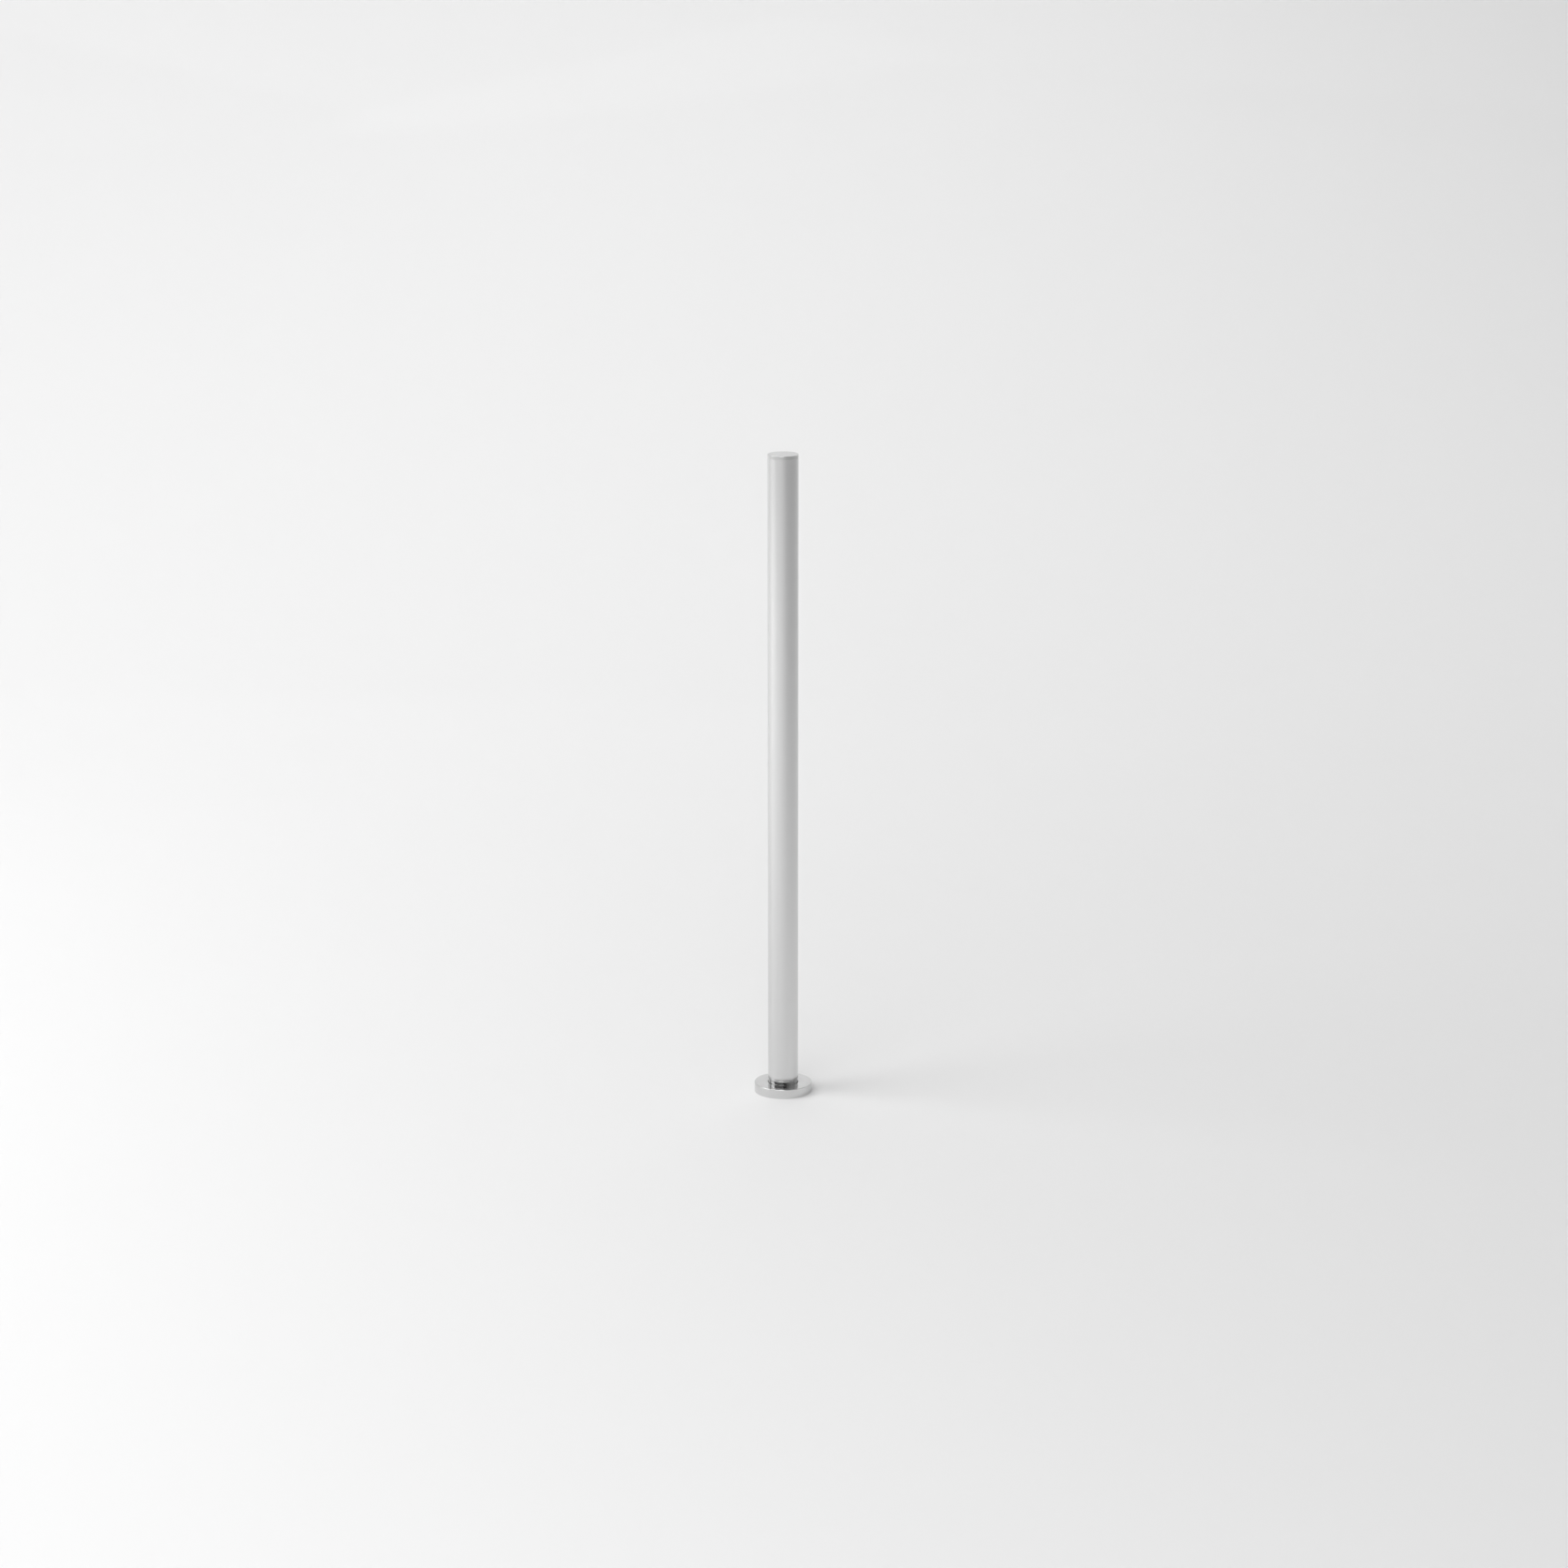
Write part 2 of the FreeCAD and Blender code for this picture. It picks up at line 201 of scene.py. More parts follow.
# The room's brightness, and where each of its parts begins and ends. The places are parts of the direction
# that the light comes from, each from -1 to 1: x to the right, y to the rear and z up.
ROOM_LEFT, ROOM_MIDDLE, ROOM_RIGHT = 0.13, 0.04, 0.30
HORIZON = 0.37
CEILING_LEFT, CEILING_RIGHT = 1.55, 0.53
SCREEN = 0.9
LEFT_WALL_X = (-0.05, 0.1)
RIGHT_WALL_X = (0.3, 1.0)
HORIZON_Z = (0.08, 0.2)
CEILING_X = (-0.3, 0.3)
CEILING_Y = (-0.2, 0.1)
CEILING_Z = (0.5, 0.64)
SCREEN_X = (-0.7, -0.6)
SCREEN_Y = (-0.30, -0.27)
SCREEN_FOOT_Z = (0.2, 0.24)
SCREEN_HEAD_Z = (0.44, 0.5)

# The camera
CAMERA_LENS = 96.0  # in millimetres, as Blender has it
CAMERA_SENSOR = 36.0  # in millimetres
CAMERA_CLIP = 200.0
CAMERA_AWAY = 6.17  # in heights of the post
CAMERA_UP = 2.087  # in heights of the post
CAMERA_ASIDE = 1.5 * MM
CAMERA_DOWN = math.radians(14.5045)

# ---------------------------------------- mesh building


def polar(radius, angle, height):
    """The point at this distance and angle about the Z axis."""
    return Vector((radius * math.cos(angle), radius * math.sin(angle), height))


def rounded(outline, closed):
    """The outline's points, with an arc wherever a point (radius, height, rounding) asks for one."""
    points = []
    count = len(outline)
    for i, corner in enumerate(outline):
        here = Vector(corner[:2])
        rounding = corner[2] if len(corner) > 2 else 0.0
        inside = closed or 0 < i < count - 1
        if not rounding or not inside:
            points.append(here)
            continue
        back = (Vector(outline[i - 1][:2]) - here).normalized()
        ahead = (Vector(outline[(i + 1) % count][:2]) - here).normalized()
        half = back.angle(ahead) / 2
        centre = here + (back + ahead).normalized() * (rounding / math.sin(half))
        start = here + back * (rounding / math.tan(half)) - centre
        end = here + ahead * (rounding / math.tan(half)) - centre
        sweep = start.angle_signed(end)
        for step in range(ROUND_STEPS + 1):
            points.append(centre + Matrix.Rotation(-sweep * step / ROUND_STEPS, 2) @ start)
    return points


def mesh_piece(name, vertices, faces):
    """A new mesh object, smooth apart from its crisp edges."""
    mesh = bpy.data.meshes.new(name)
    mesh.from_pydata([tuple(v) for v in vertices], [], faces)
    mesh.validate()
    piece = bpy.data.objects.new(name, mesh)
    bpy.context.scene.collection.objects.link(piece)
    finish_shading(piece)
    return piece


def finish_shading(piece):
    """Smooth faces with crisp edges, and normals that point outward."""
    work = bmesh.new()
    work.from_mesh(piece.data)
    bmesh.ops.recalc_face_normals(work, faces=work.faces)
    work.to_mesh(piece.data)
    work.free()
    piece.data.shade_smooth()
    piece.data.set_sharp_from_angle(angle=FLAT_ANGLE)


def loft(name, rings, closed=False):
    """A skin over a list of rings of equal length. A ring of one point closes the skin at the axis."""
    vertices, starts, faces = [], [], []
    for ring in rings:
        starts.append(len(vertices))
        vertices += ring
    pairs = list(zip(range(len(rings)), range(1, len(rings))))
    if closed:
        pairs.append((len(rings) - 1, 0))
    for a, b in pairs:
        sides = max(len(rings[a]), len(rings[b]))
        for i in range(sides):
            j = (i + 1) % sides
            if len(rings[a]) == 1:
                faces.append((starts[a], starts[b] + j, starts[b] + i))
            elif len(rings[b]) == 1:
                faces.append((starts[a] + i, starts[a] + j, starts[b]))
            else:
                faces.append((starts[a] + i, starts[a] + j, starts[b] + j, starts[b] + i))
    return mesh_piece(name, vertices, faces)


def circle(radius, height, segments):
    """A ring of points about the Z axis, or the one point on it."""
    if radius == 0:
        return [Vector((0, 0, height))]
    turn = 2 * math.pi / segments
    return [polar(radius, i * turn, height) for i in range(segments)]


def turned(name, outline, segments=SEGMENTS):
    """A piece turned on a lathe, from the outline of half its section."""
    closed = all(corner[0] > 0 for corner in outline)
    return loft(name, [circle(p.x, p.y, segments) for p in rounded(outline, closed)], closed)


def cut(piece, cutters):
    """Takes the cutters out of the piece, and removes them."""
    for cutter in cutters:
        modifier = piece.modifiers.new("cut", "BOOLEAN")
        modifier.object = cutter
        modifier.operation = "DIFFERENCE"
        modifier.solver = "EXACT"
    graph = bpy.context.evaluated_depsgraph_get()
    mesh = bpy.data.meshes.new_from_object(piece.evaluated_get(graph))
    piece.modifiers.clear()
    piece.data = mesh
    for cutter in cutters:
        bpy.data.objects.remove(cutter)
    finish_shading(piece)


def place(piece, position, axis=Vector((0, 0, 1))):
    """Moves a piece that was made along +Z so that it starts at position and runs along axis."""
    turn = Vector((0, 0, 1)).rotation_difference(axis).to_matrix().to_4x4()
    piece.data.transform(Matrix.Translation(position) @ turn)
    return piece


def attach(piece, body, node):
    """Makes the piece ride on its body, in place of its CAD node."""
    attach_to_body(piece, body)
    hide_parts(node)


# ---------------------------------------- holes


def plain_hole(radius, x, y, bottom, top):
    """The cutter for a straight hole."""
    outline = [(0, bottom), (radius, bottom), (radius, top), (0, top)]
    return place(turned("hole", outline, SMALL_SEGMENTS), Vector((x, y, 0)))


def screw_hole(size, face, axis, length):
    """The cutter for a countersunk screw's hole, also open above the head."""
    head, thread = size["head"] + SCREW_GAP, size["thread"] + SCREW_GAP
    outline = [(0, -size["head"]), (head, -size["head"]), (head, size["land"]),
               (thread, size["head_height"]), (thread, length), (0, length)]
    return place(turned("hole", outline, SMALL_SEGMENTS), face, axis)


def tube_screw_places():
    """The middle of each rear screw's head, from the frame."""
    places = {}
    for name in ("lower", "upper"):
        low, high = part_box("tube_screw_" + name)
        places[name] = Vector((0, high.y, (low.z + high.z) / 2))
    return places


def tube_screw_holes(spare):
    """The cutters for the two rear screws' holes, deeper than the screws by spare."""
    inward = Vector((0, -1, 0))
    length = TUBE_SCREW["length"] + spare
    return [screw_hole(TUBE_SCREW, face, inward, length) for face in tube_screw_places().values()]


def foot_screw_place():
    """The middle of the foot screw's head, which faces down."""
    return Vector((0, 0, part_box("foot_screw")[0].z))


def foot_screw_hole(spare):
    """The cutter for the foot screw's hole, from under the plate up into the foot."""
    return screw_hole(FOOT_SCREW, foot_screw_place(), Vector((0, 0, 1)), FOOT_SCREW["length"] + spare)


def dowel_holes(bottom, top):
    """The cutters for the two dowels' holes."""
    cutters = []
    for side in ("left", "right"):
        low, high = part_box("dowel_" + side)
        radius = (high.x - low.x) / 2 + DOWEL_GAP
        cutters.append(plain_hole(radius, (low.x + high.x) / 2, 0, bottom, top))
    return cutters


def anchor_places():
    """The centres of the anchor holes."""
    angles = [ANCHOR_FIRST_ANGLE + i * 2 * math.pi / ANCHOR_COUNT for i in range(ANCHOR_COUNT)]
    return [(ANCHOR_CIRCLE_R * math.cos(a), ANCHOR_CIRCLE_R * math.sin(a)) for a in angles]


def anchor_hole(x, y):
    """The cutter for one countersunk anchor hole in the plate."""
    top = PLATE_HIGH.z + SINK_PAST
    outline = [(0, PLATE_LOW.z - PAST), (ANCHOR_R, PLATE_LOW.z - PAST),
               (ANCHOR_R, PLATE_HIGH.z - (SINK_R - ANCHOR_R)), (SINK_R + SINK_PAST, top), (0, top)]
    return place(turned("hole", outline, SMALL_SEGMENTS), Vector((x, y, 0)))


def groove(ring_name, outside):
    """The outline of a ring's groove, from the lower corner outside to the upper one."""
    low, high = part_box(ring_name)
    bottom, top = low.z - GROOVE_SIDE, high.z + GROOVE_SIDE
    floor = high.x - (high.z - low.z) - GROOVE_FLOOR
    return [(outside, bottom), (floor, bottom, GROOVE_CORNER), (floor, top, GROOVE_CORNER), (outside, top)]


# ---------------------------------------- the pieces


def hexagon(key, height, segments):
    """A ring of points along a hexagon that measures key across its flats."""
    points = []
    for i in range(segments):
        angle = 2 * math.pi * i / segments
        from_flat = (angle + math.pi / 6) % (math.pi / 3) - math.pi / 6
        points.append(polar(key / 2 / math.cos(from_flat), angle, height))
    return points


def thread_rings(radius, pitch, start, end, segments):
    """Rings that wind a thread round the shank, fading out at both its ends."""
    count = round((end - start) / pitch * THREAD_STEPS)
    rings = []
    for row in range(count + 1):
        height = start + (end - start) * row / count
        fade = max(0.0, min(1.0, (height - start) / pitch, (end - height) / pitch))
        ring = []
        for i in range(segments):
            turn = i / segments
            phase = ((height - start) / pitch + turn) % 1.0
            valley = max(0.0, 1.0 - abs(phase - 0.5) / THREAD_VALLEY)
            depth = THREAD_DEPTH * pitch * valley * fade
            ring.append(polar(radius - depth, 2 * math.pi * turn, height))
        rings.append(ring)
    return rings


def countersunk_screw(name, size, face, axis):
    """A hexagon socket screw with a flat head at face and a thread that runs along axis."""
    n = SMALL_SEGMENTS
    head, thread, key, pitch = size["head"], size["thread"], size["key"], size["pitch"]
    lead = key * KEY_LEAD
    tip = thread * SCREW_TIP
    rings = [circle(0, size["key_depth"] + key * KEY_CONE, n), hexagon(key, size["key_depth"], n),
             hexagon(key, lead, n), hexagon(key + 2 * lead, 0, n),
             circle(head - SCREW_HEAD_BREAK, 0, n), circle(head, SCREW_HEAD_BREAK, n),
             circle(head, size["land"], n), circle(thread, size["head_height"], n)]
    rings += thread_rings(thread, pitch, size["head_height"] + pitch / 4, size["length"] - tip, n)
    rings += [circle(thread - tip, size["length"], n), circle(0, size["length"], n)]
    return place(loft(name, rings), face, axis)


def make_tube():
    """The post's tube, with fine rows round the rear screws so that their holes shade well."""
    screws = tube_screw_places()
    reach = TUBE_SCREW["head"] * 1.5
    start, end = screws["lower"].z - reach, screws["upper"].z + reach
    outline = [(TUBE_BORE_R, TUBE_LOW.z, TUBE_BORE_BREAK), (TUBE_R, TUBE_LOW.z, TUBE_LIP)]
    outline += [(TUBE_R, start + (end - start) * row / TUBE_ROWS) for row in range(TUBE_ROWS + 1)]
    outline += [(TUBE_R, TUBE_HIGH.z - TUBE_TOP_BREAK), (TUBE_R - TUBE_TOP_BREAK, TUBE_HIGH.z),
                (TUBE_BORE_R, TUBE_HIGH.z)]
    tube = turned("drawn_tube", outline)
    cut(tube, tube_screw_holes(0.0))
    attach(tube, "post", "post_tube")
    return tube


def make_tube_screws():
    """The two rear screws, which hold the tube on the foot."""
    screws = []
    for name, face in tube_screw_places().items():
        screw = countersunk_screw("socket_screw_" + name, TUBE_SCREW, face, Vector((0, -1, 0)))
        attach(screw, "post", "tube_screw_" + name)
        screws.append(screw)
    return screws


def make_cap():
    """The flat cap and its plug."""
    bottom = CAP_LOW.z
    outline = [(0, TUBE_HIGH.z), (CAP_BORE_R, TUBE_HIGH.z, CAP_BORE_CORNER),
               (CAP_BORE_R, bottom, CAP_BORE_BREAK), (CAP_SKIRT_R - CAP_SKIRT_CHAMFER, bottom),
               (CAP_SKIRT_R, bottom + CAP_SKIRT_CHAMFER)]
    outline += groove("cap_seal_lower", CAP_SKIRT_R) + groove("cap_seal_upper", CAP_SKIRT_R)
    outline += [(CAP_SKIRT_R, TUBE_HIGH.z), (TUBE_R - TUBE_TOP_BREAK, TUBE_HIGH.z),
                (TUBE_R, TUBE_HIGH.z + TUBE_TOP_BREAK), (TUBE_R, CAP_HIGH.z, CAP_RIM), (0, CAP_HIGH.z)]
    cap = turned("turned_cap", outline)
    attach(cap, "post", "top_cap")
    return cap


def make_foot():
    """The neck and the spigot, with the seats for its rings, screws and dowels."""
    outline = [(0, FOOT_LOW.z), (NECK_R, FOOT_LOW.z, NECK_FOOT_BREAK), (NECK_R, SEAT_Z, NECK_TOP_BREAK),
               (SPIGOT_R, SEAT_Z)]
    outline += groove("foot_seal_lower", SPIGOT_R) + groove("foot_seal_upper", SPIGOT_R)
    outline += [(SPIGOT_R, FOOT_HIGH.z - SPIGOT_CHAMFER), (SPIGOT_R - SPIGOT_CHAMFER, FOOT_HIGH.z),
                (RELIEF_R, FOOT_HIGH.z, RELIEF_BREAK), (RELIEF_R, FOOT_HIGH.z - RELIEF_DEPTH, RELIEF_CORNER),
                (0, FOOT_HIGH.z - RELIEF_DEPTH)]
    foot = turned("turned_foot", outline)
    cutters = [foot_screw_hole(FOOT_SCREW_SPARE)] + tube_screw_holes(TUBE_SCREW_SPARE)
    cut(foot, cutters + dowel_holes(FOOT_LOW.z - PAST, DOWEL_HIGH.z + DOWEL_SPARE))
    attach(foot, "post", "foot")
    return foot


def make_plate():
    """The floor plate with its anchor holes."""
    outline = [(0, PLATE_LOW.z), (PLATE_R - PLATE_CHAMFER, PLATE_LOW.z),
               (PLATE_R, PLATE_LOW.z + PLATE_CHAMFER)]
    outline += groove("cover_seal", PLATE_R)
    outline += [(PLATE_R, PLATE_HIGH.z - PLATE_CHAMFER), (PLATE_R - PLATE_CHAMFER, PLATE_HIGH.z),
                (0, PLATE_HIGH.z)]
    plate = turned("floor_plate", outline)
    cutters = [foot_screw_hole(0.0)] + [anchor_hole(x, y) for x, y in anchor_places()]
    cut(plate, cutters + dowel_holes(DOWEL_LOW.z, PLATE_HIGH.z + PAST))
    attach(plate, "post", "base_plate")
    return plate


def make_foot_screw():
    """The screw that holds the foot to the plate from below."""
    screw = countersunk_screw("socket_screw_foot", FOOT_SCREW, foot_screw_place(), Vector((0, 0, 1)))
    attach(screw, "post", "foot_screw")
    return screw


def make_gasket():
    """The rubber disc under the plate."""
    low, high, outside = GASKET_LOW.z, GASKET_HIGH.z, GASKET_HIGH.x
    outline = [(GASKET_HOLE_R, low, GASKET_BREAK), (outside, low, GASKET_BREAK),
               (outside, high, GASKET_BREAK), (GASKET_HOLE_R, high, GASKET_BREAK)]
    gasket = turned("rubber_gasket", outline)
    cut(gasket, [plain_hole(ANCHOR_R, x, y, low - PAST, high + PAST) for x, y in anchor_places()])
    attach(gasket, "post", "floor_gasket")
    return gasket


def make_cover():
    """The sliding cover, which paint_cover makes mirror polished on top and in the bore, satin round the
    skirt.
    """
    bottom, top = COVER_LOW.z, COVER_HIGH.z
    outline = [(COVER_INNER_R, bottom, COVER_SKIRT_BREAK), (COVER_R, bottom, COVER_HEM_BREAK),
               (COVER_R, top, COVER_RIM), (COVER_BORE_R, top, COVER_BORE_BREAK),
               (COVER_BORE_R, top - COVER_TOP), (COVER_INNER_R, top - COVER_TOP, COVER_CORNER)]
    cover = turned("turned_cover", outline)
    attach(cover, "cover", "base_cover")
    return cover


def make_seal(node, section_r):
    """A moulded rubber ring with the faint line where its mould halves met."""
    low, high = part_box(node)
    middle_r = high.x - section_r
    height = (low.z + high.z) / 2
    rings = []
    for i in range(RING_STEPS):
        angle = 2 * math.pi * i / RING_STEPS
        on_line = i in (RING_STEPS // 4, 3 * RING_STEPS // 4)
        radius = section_r if on_line else section_r - MOULD_LINE
        rings.append(circle(middle_r + radius * math.cos(angle), height + radius * math.sin(angle), SEGMENTS))
    ring = loft(node + "_ring", rings, closed=True)
    attach(ring, "post", node)
    return ring


def make_seals():
    """The four rings inside the tube, and the cover's."""
    rings = []
    for node in ("foot_seal_lower", "foot_seal_upper", "cap_seal_lower", "cap_seal_upper"):
        rings.append(make_seal(node, SEAL_R))
    rings.append(make_seal("cover_seal", COVER_SEAL_R))
    return rings


# ---------------------------------------- materials


class Graph:
    """The node tree of a material or of the world, with short calls to add and join its nodes."""

    def __init__(self, owner):
        owner.use_nodes = True
        self.nodes = owner.node_tree.nodes
        self.links = owner.node_tree.links
        self.nodes.clear()

    def node(self, kind, **settings):
        made = self.nodes.new(kind)
        for key, value in settings.items():
            setattr(made, key, value)
        return made

    def feed(self, socket, value):
        """Joins an output to the socket, or sets the socket to a plain value."""
        if isinstance(value, bpy.types.NodeSocket):
            self.links.new(value, socket)
        else:
            socket.default_value = value

    def math(self, operation, first, second=0.0, third=0.0):
        made = self.node("ShaderNodeMath", operation=operation)
        for socket, value in zip(made.inputs, (first, second, third)):
            self.feed(socket, value)
        return made.outputs[0]

    def add(self, first, second):
        return self.math("ADD", first, second)

    def multiply(self, first, second):
        return self.math("MULTIPLY", first, second)

    def remap(self, value, low, high, from_low=0.0, from_high=1.0):
        """The value's range, moved to low..high and held there."""
        made = self.node("ShaderNodeMapRange")
        for socket, number in zip(made.inputs, (value, from_low, from_high, low, high)):
            self.feed(socket, number)
        return made.outputs[0]

    def split(self, vector):
        """The vector's three parts."""
        made = self.node("ShaderNodeSeparateXYZ")
        self.feed(made.inputs[0], vector)
        return made.outputs

    def place(self):
        """Where a point is in the CAD frame, in metres."""
        return self.node("ShaderNodeTexCoord").outputs["Object"]

    def turned_place(self):
        """Where a point is on a turned piece: (distance from the axis, 0, height)."""
        x, y, z = self.split(self.place())
        joined = self.node("ShaderNodeCombineXYZ")
        self.feed(joined.inputs[0], self.math("SQRT", self.add(self.multiply(x, x), self.multiply(y, y))))
        self.feed(joined.inputs[2], z)
        return joined.outputs[0]

    def noise(self, where, scale, detail=2.0, stretch=(1, 1, 1)):
        """Soft noise from 0 to 1 that repeats about scale times a metre, times stretch along each axis."""
        mapping = self.node("ShaderNodeMapping")
        self.feed(mapping.inputs["Vector"], where)
        mapping.inputs["Scale"].default_value = [scale * s for s in stretch]
        made = self.node("ShaderNodeTexNoise")
        self.feed(made.inputs["Vector"], mapping.outputs[0])
        made.inputs["Scale"].default_value = 1.0
        made.inputs["Detail"].default_value = detail
        return made.outputs[0]

    def tint(self, base, value, low, high):
        """The base colour made darker or lighter by a value from 0 to 1."""
        made = self.node("ShaderNodeMix", data_type="RGBA", blend_type="MULTIPLY")
        made.inputs["Factor"].default_value = 1.0
        made.inputs["A"].default_value = (*base, 1)
        grey = self.node("ShaderNodeCombineColor")
        shade = self.remap(value, low, high)
        for socket in grey.inputs:
            self.feed(socket, shade)
        self.feed(made.inputs["B"], grey.outputs[0])
        return made.outputs["Result"]

    def bump(self, height, strength, distance, under=None):
        """The normal of a relief of this height in metres, over another relief if one is given."""
        made = self.node("ShaderNodeBump")
        made.inputs["Strength"].default_value = strength
        made.inputs["Distance"].default_value = distance
        self.feed(made.inputs["Height"], height)
        if under is not None:
            self.feed(made.inputs["Normal"], under)
        return made.outputs[0]

    def surface(self, **inputs):
        """The Principled shader and the output, with inputs named in plain words."""
        shader = self.node("ShaderNodeBsdfPrincipled")
        for name, value in inputs.items():
            self.feed(shader.inputs[name.replace("_", " ").title().replace("Ior", "IOR")], value)
        output = self.node("ShaderNodeOutputMaterial")
        self.feed(output.inputs["Surface"], shader.outputs[0])


def satin_steel(name, colour, roughness, grain):
    """Stainless steel ground with a fine belt: hairlines that run round the piece, and slow haze."""
    material = bpy.data.materials.new(name)
    g = Graph(material)
    around = (0.02, 0.02, 1)
    hairlines = g.noise(g.place(), scale=2400, detail=4, stretch=around)
    coarse = g.noise(g.place(), scale=520, detail=3, stretch=around)
    haze = g.noise(g.place(), scale=18, detail=3)
    spread = grain * 0.1
    fine_rough = g.remap(hairlines, roughness - spread, roughness + spread)
    relief = g.bump(coarse, strength=grain * 0.6, distance=0.03 * MM)
    g.surface(base_color=g.tint(colour, haze, 0.975, 1.0), metallic=1.0,
              roughness=g.add(fine_rough, g.remap(haze, -0.015, 0.015)),
              normal=g.bump(hairlines, strength=grain, distance=0.02 * MM, under=relief),
              anisotropic=HAIRLINE_STRETCH, anisotropic_rotation=QUARTER_TURN,
              tangent=g.node("ShaderNodeTangent", direction_type="RADIAL", axis="Z").outputs[0])
    return material


def polished_steel():
    """Mirror-polished steel that keeps the faintest of its turning marks, and some haze from handling."""
    material = bpy.data.materials.new("polished_steel")
    g = Graph(material)
    turning = g.noise(g.turned_place(), scale=2600, detail=3)
    smudges = g.noise(g.place(), scale=45, detail=4)
    hazy = g.remap(smudges, 0.035, 0.075, from_low=0.3, from_high=0.8)
    g.surface(base_color=g.tint(POLISHED_COLOUR, smudges, 0.985, 1.0), metallic=1.0,
              roughness=g.add(hazy, g.remap(turning, -0.01, 0.01)),
              normal=g.bump(turning, strength=0.05, distance=0.001 * MM))
    return material


def turned_steel():
    """Plain turned steel: the tool's spiral shows on the face and round the rim."""
    material = bpy.data.materials.new("plate_steel")
    g = Graph(material)
    marks = g.noise(g.turned_place(), scale=1500, detail=2)
    wide = g.noise(g.turned_place(), scale=300, detail=2)
    patches = g.noise(g.place(), scale=60, detail=4)
    relief = g.bump(wide, strength=0.3, distance=0.01 * MM)
    g.surface(base_color=g.tint(PLATE_COLOUR, patches, 0.9, 1.0), metallic=1.0,
              roughness=g.add(g.remap(marks, 0.27, 0.39), g.remap(patches, -0.04, 0.04)),
              normal=g.bump(marks, strength=0.5, distance=0.006 * MM, under=relief))
    return material


def screw_steel():
    """Cold-formed stainless steel, a little darker and uneven where it was pickled."""
    material = bpy.data.materials.new("screw_steel")
    g = Graph(material)
    grain = g.noise(g.place(), scale=2500, detail=4)
    patches = g.noise(g.place(), scale=220, detail=3)
    g.surface(base_color=g.tint(SCREW_COLOUR, patches, 0.85, 1.0), metallic=1.0,
              roughness=g.add(g.remap(grain, 0.24, 0.36), g.remap(patches, -0.03, 0.05)),
              normal=g.bump(grain, strength=0.25, distance=0.01 * MM))
    return material


def black_rubber():
    """Moulded rubber: a fine matt grain, with paler bloom in patches."""
    material = bpy.data.materials.new("black_rubber")
    g = Graph(material)
    grain = g.noise(g.place(), scale=3500, detail=3)
    bloom = g.noise(g.place(), scale=90, detail=4)
    relief = g.bump(bloom, strength=0.2, distance=0.05 * MM)
    g.surface(base_color=g.tint(RUBBER_COLOUR, bloom, 0.7, 1.3), specular_ior_level=0.35,
              roughness=g.add(g.remap(grain, 0.62, 0.8), g.remap(bloom, -0.04, 0.06)),
              normal=g.bump(grain, strength=0.4, distance=0.03 * MM, under=relief))
    return material


def floor_paint():
    """The studio's pale matt floor."""
    material = bpy.data.materials.new("studio_floor")
    g = Graph(material)
    patches = g.noise(g.place(), scale=3, detail=3)
    grain = g.noise(g.place(), scale=260, detail=3)
    g.surface(base_color=g.tint(FLOOR_COLOUR, patches, 0.992, 1.0), specular_ior_level=0.3,
              roughness=g.remap(grain, 0.55, 0.65),
              normal=g.bump(grain, strength=0.05, distance=0.05 * MM))
    return material


def paint(piece, *materials):
    """Gives the piece these materials, in place of any that it has."""
    piece.data.materials.clear()
    for material in materials:
        piece.data.materials.append(material)


def paint_cover(cover, polished, satin):
    """The cover's skirt is satin outside, and the rest of it is polished."""
    paint(cover, polished, satin)
    for face in cover.data.polygons:
        outside = face.center.xy.length > COVER_R - COVER_RIM * SKIRT_REACH
        face.material_index = 1 if outside and abs(face.normal.z) < SKIRT_SLOPE else 0


# ---------------------------------------- the studio


def make_floor():
    """A pale floor that curves up behind the post."""
    flat_row = COVE_START - FLOOR_REACH / 8  # keeps the floor's shading level up to here
    profile = [(COVE_START - FLOOR_REACH, 0.0), (flat_row, 0.0)]
    for step in range(COVE_STEPS + 1):
        angle = math.pi / 2 * step / COVE_STEPS
        profile.append((COVE_START + COVE_RADIUS * math.sin(angle), COVE_RADIUS * (1 - math.cos(angle))))
    profile.append((COVE_START + COVE_RADIUS, COVE_TOP))
    vertices, faces = [], []
    for y, z in profile:
        vertices += [(-FLOOR_REACH, y, z), (FLOOR_REACH, y, z)]
    for row in range(len(profile) - 1):
        first = 2 * row
        faces.append((first, first + 1, first + 3, first + 2))
    floor = mesh_piece("studio_floor", vertices, faces)
    paint(floor, floor_paint())


def make_lights():
    """Flat square panels over the floor that face down and that the camera doesn't see."""
    for name, (position, power) in PANELS.items():
        light = bpy.data.lights.new(name, "AREA")
        light.size = PANEL_SIZE
        light.energy = power
        panel = bpy.data.objects.new(name, light)
        bpy.context.scene.collection.objects.link(panel)
        panel.location = position
        panel.visible_camera = False


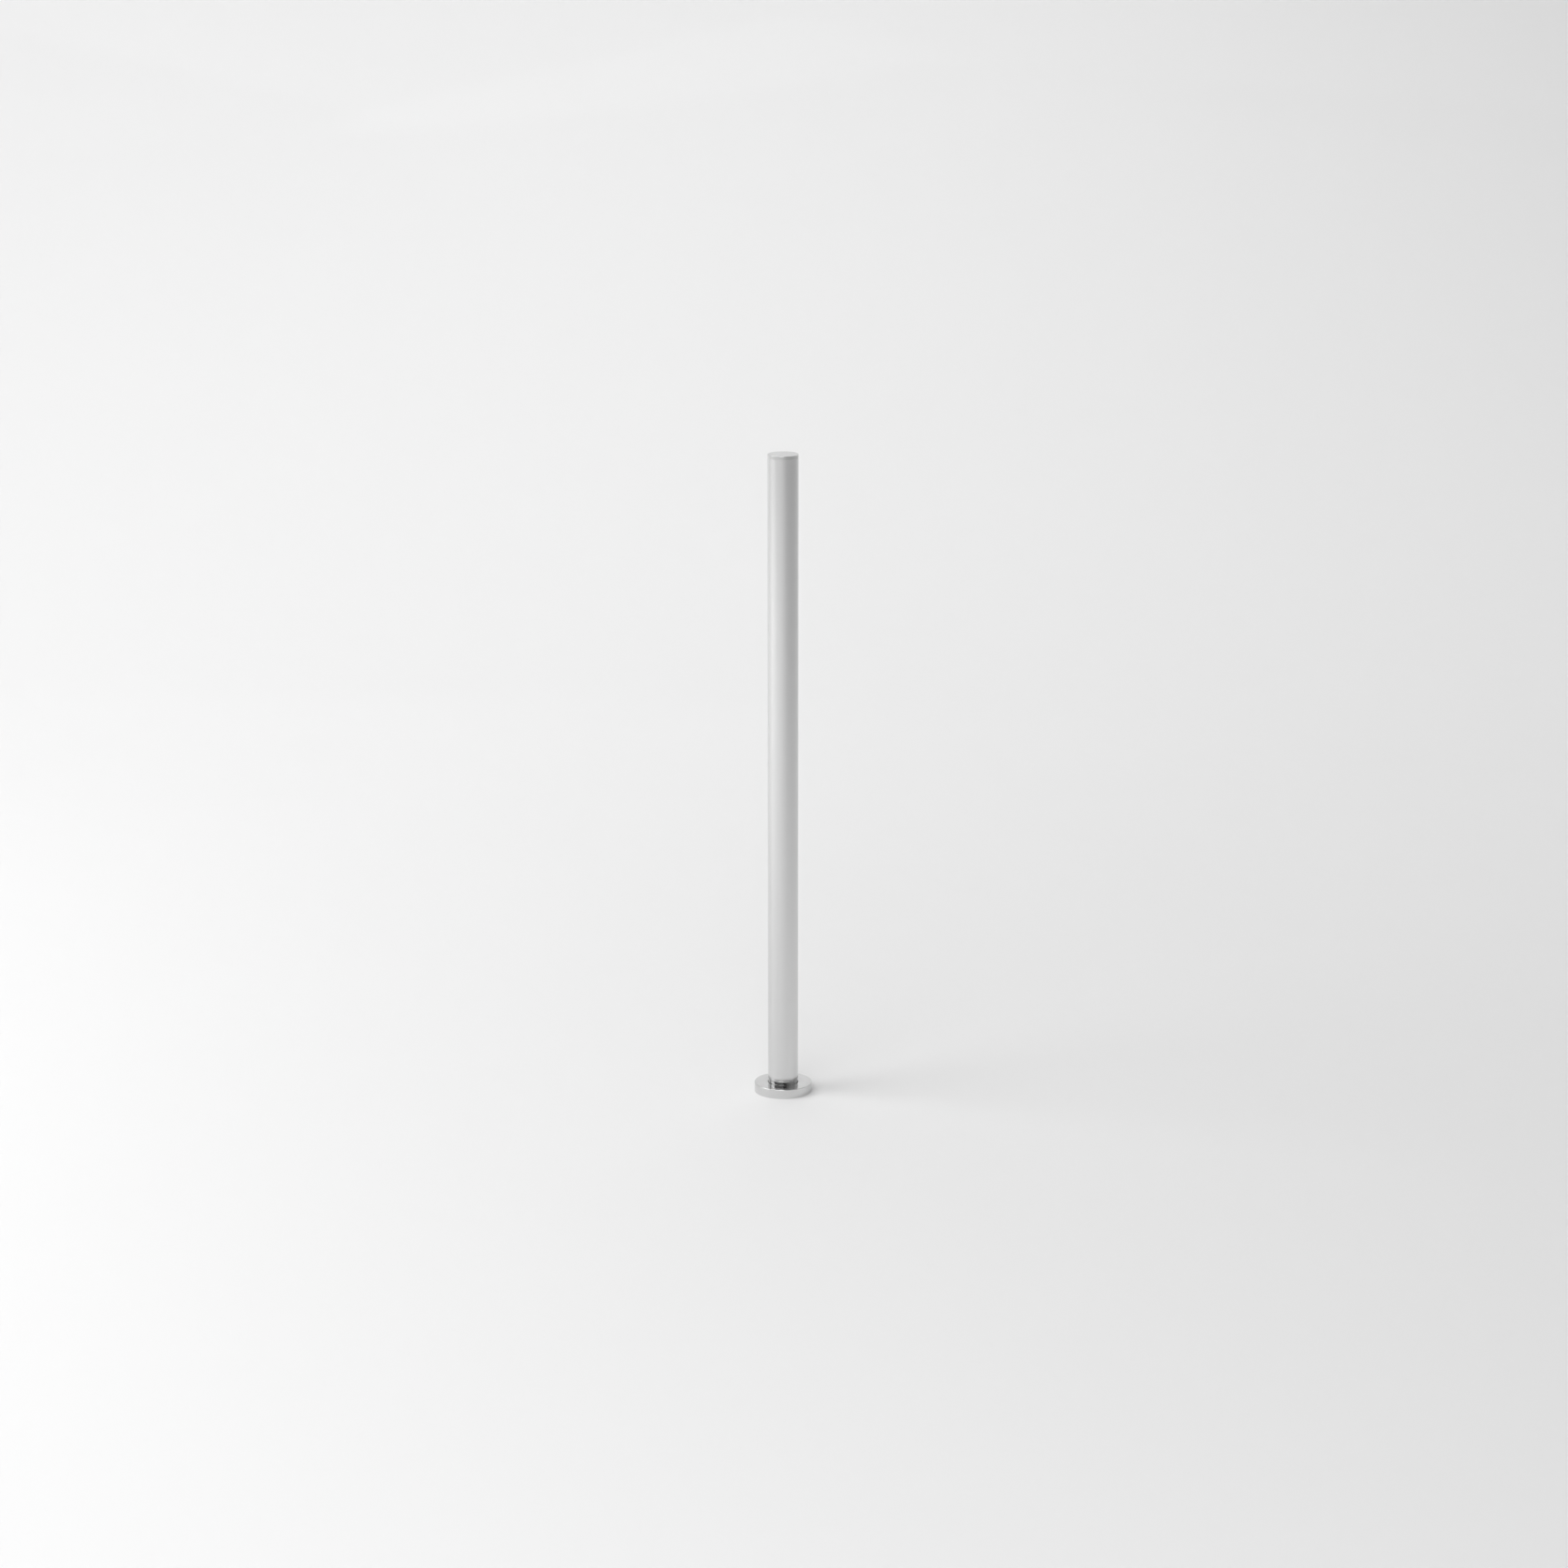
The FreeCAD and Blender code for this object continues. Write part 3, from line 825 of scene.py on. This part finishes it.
def make_world():
    """The room beyond the panels: a pale horizon, a screen on the left and a soft ceiling in front."""
    world = bpy.data.worlds.new("studio")
    bpy.context.scene.world = world
    g = Graph(world)
    x, y, z = g.split(g.node("ShaderNodeTexCoord").outputs["Generated"])
    walls = g.math("MAXIMUM", g.remap(x, ROOM_LEFT, ROOM_MIDDLE, *LEFT_WALL_X),
                   g.remap(x, ROOM_MIDDLE, ROOM_RIGHT, *RIGHT_WALL_X))
    above = g.remap(z, 0.0, 1.0, *HORIZON_Z)
    horizon = g.multiply(g.math("SUBTRACT", 1.0, above), HORIZON)
    room = g.math("MULTIPLY_ADD", above, walls, horizon)
    front = g.multiply(g.remap(z, 0.0, 1.0, *CEILING_Z), g.remap(y, 1.0, 0.0, *CEILING_Y))
    ceiling = g.multiply(front, g.remap(x, CEILING_LEFT, CEILING_RIGHT, *CEILING_X))
    across = g.multiply(g.remap(y, 0.0, 1.0, *SCREEN_Y), g.remap(x, 1.0, 0.0, *SCREEN_X))
    upright = g.multiply(g.remap(z, 0.0, 1.0, *SCREEN_FOOT_Z), g.remap(z, 1.0, 0.0, *SCREEN_HEAD_Z))
    screen = g.multiply(g.multiply(across, upright), SCREEN)
    background = g.node("ShaderNodeBackground")
    background.inputs["Color"].default_value = (1, 1, 1, 1)
    g.feed(background.inputs["Strength"], g.add(room, g.add(ceiling, screen)))
    output = g.node("ShaderNodeOutputWorld")
    g.feed(output.inputs["Surface"], background.outputs[0])


def make_camera():
    """A long lens from in front, above the post, tilted down so that only floor is behind."""
    height = CAD_HIGH.z
    data = bpy.data.cameras.new("camera")
    data.sensor_width = CAMERA_SENSOR
    data.lens = CAMERA_LENS
    data.clip_end = CAMERA_CLIP
    camera = bpy.data.objects.new("camera", data)
    bpy.context.scene.collection.objects.link(camera)
    camera.location = (CAMERA_ASIDE, -CAMERA_AWAY * height, CAMERA_UP * height)
    camera.rotation_euler = (math.radians(90) - CAMERA_DOWN, 0, 0)
    bpy.context.scene.camera = camera


# ---------------------------------------- making it all


def main():
    make_camera()
    satin = satin_steel("satin_steel", TUBE_COLOUR, TUBE_ROUGHNESS, TUBE_GRAIN)
    skirt = satin_steel("satin_skirt", SKIRT_COLOUR, SKIRT_ROUGHNESS, SKIRT_GRAIN)
    polished, plate, screws, rubber = polished_steel(), turned_steel(), screw_steel(), black_rubber()
    paint(make_tube(), satin)
    for screw in make_tube_screws():
        paint(screw, screws)
    paint(make_cap(), satin)
    paint(make_foot(), polished)
    paint(make_plate(), plate)
    paint(make_foot_screw(), screws)
    paint(make_gasket(), rubber)
    paint_cover(make_cover(), polished, skirt)
    for ring in make_seals():
        paint(ring, rubber)
    for side in ("left", "right"):
        paint(frame["nodes"]["dowel_" + side], screws)
    make_floor()
    make_lights()
    make_world()
    bpy.context.scene.view_settings.view_transform = "Standard"


main()
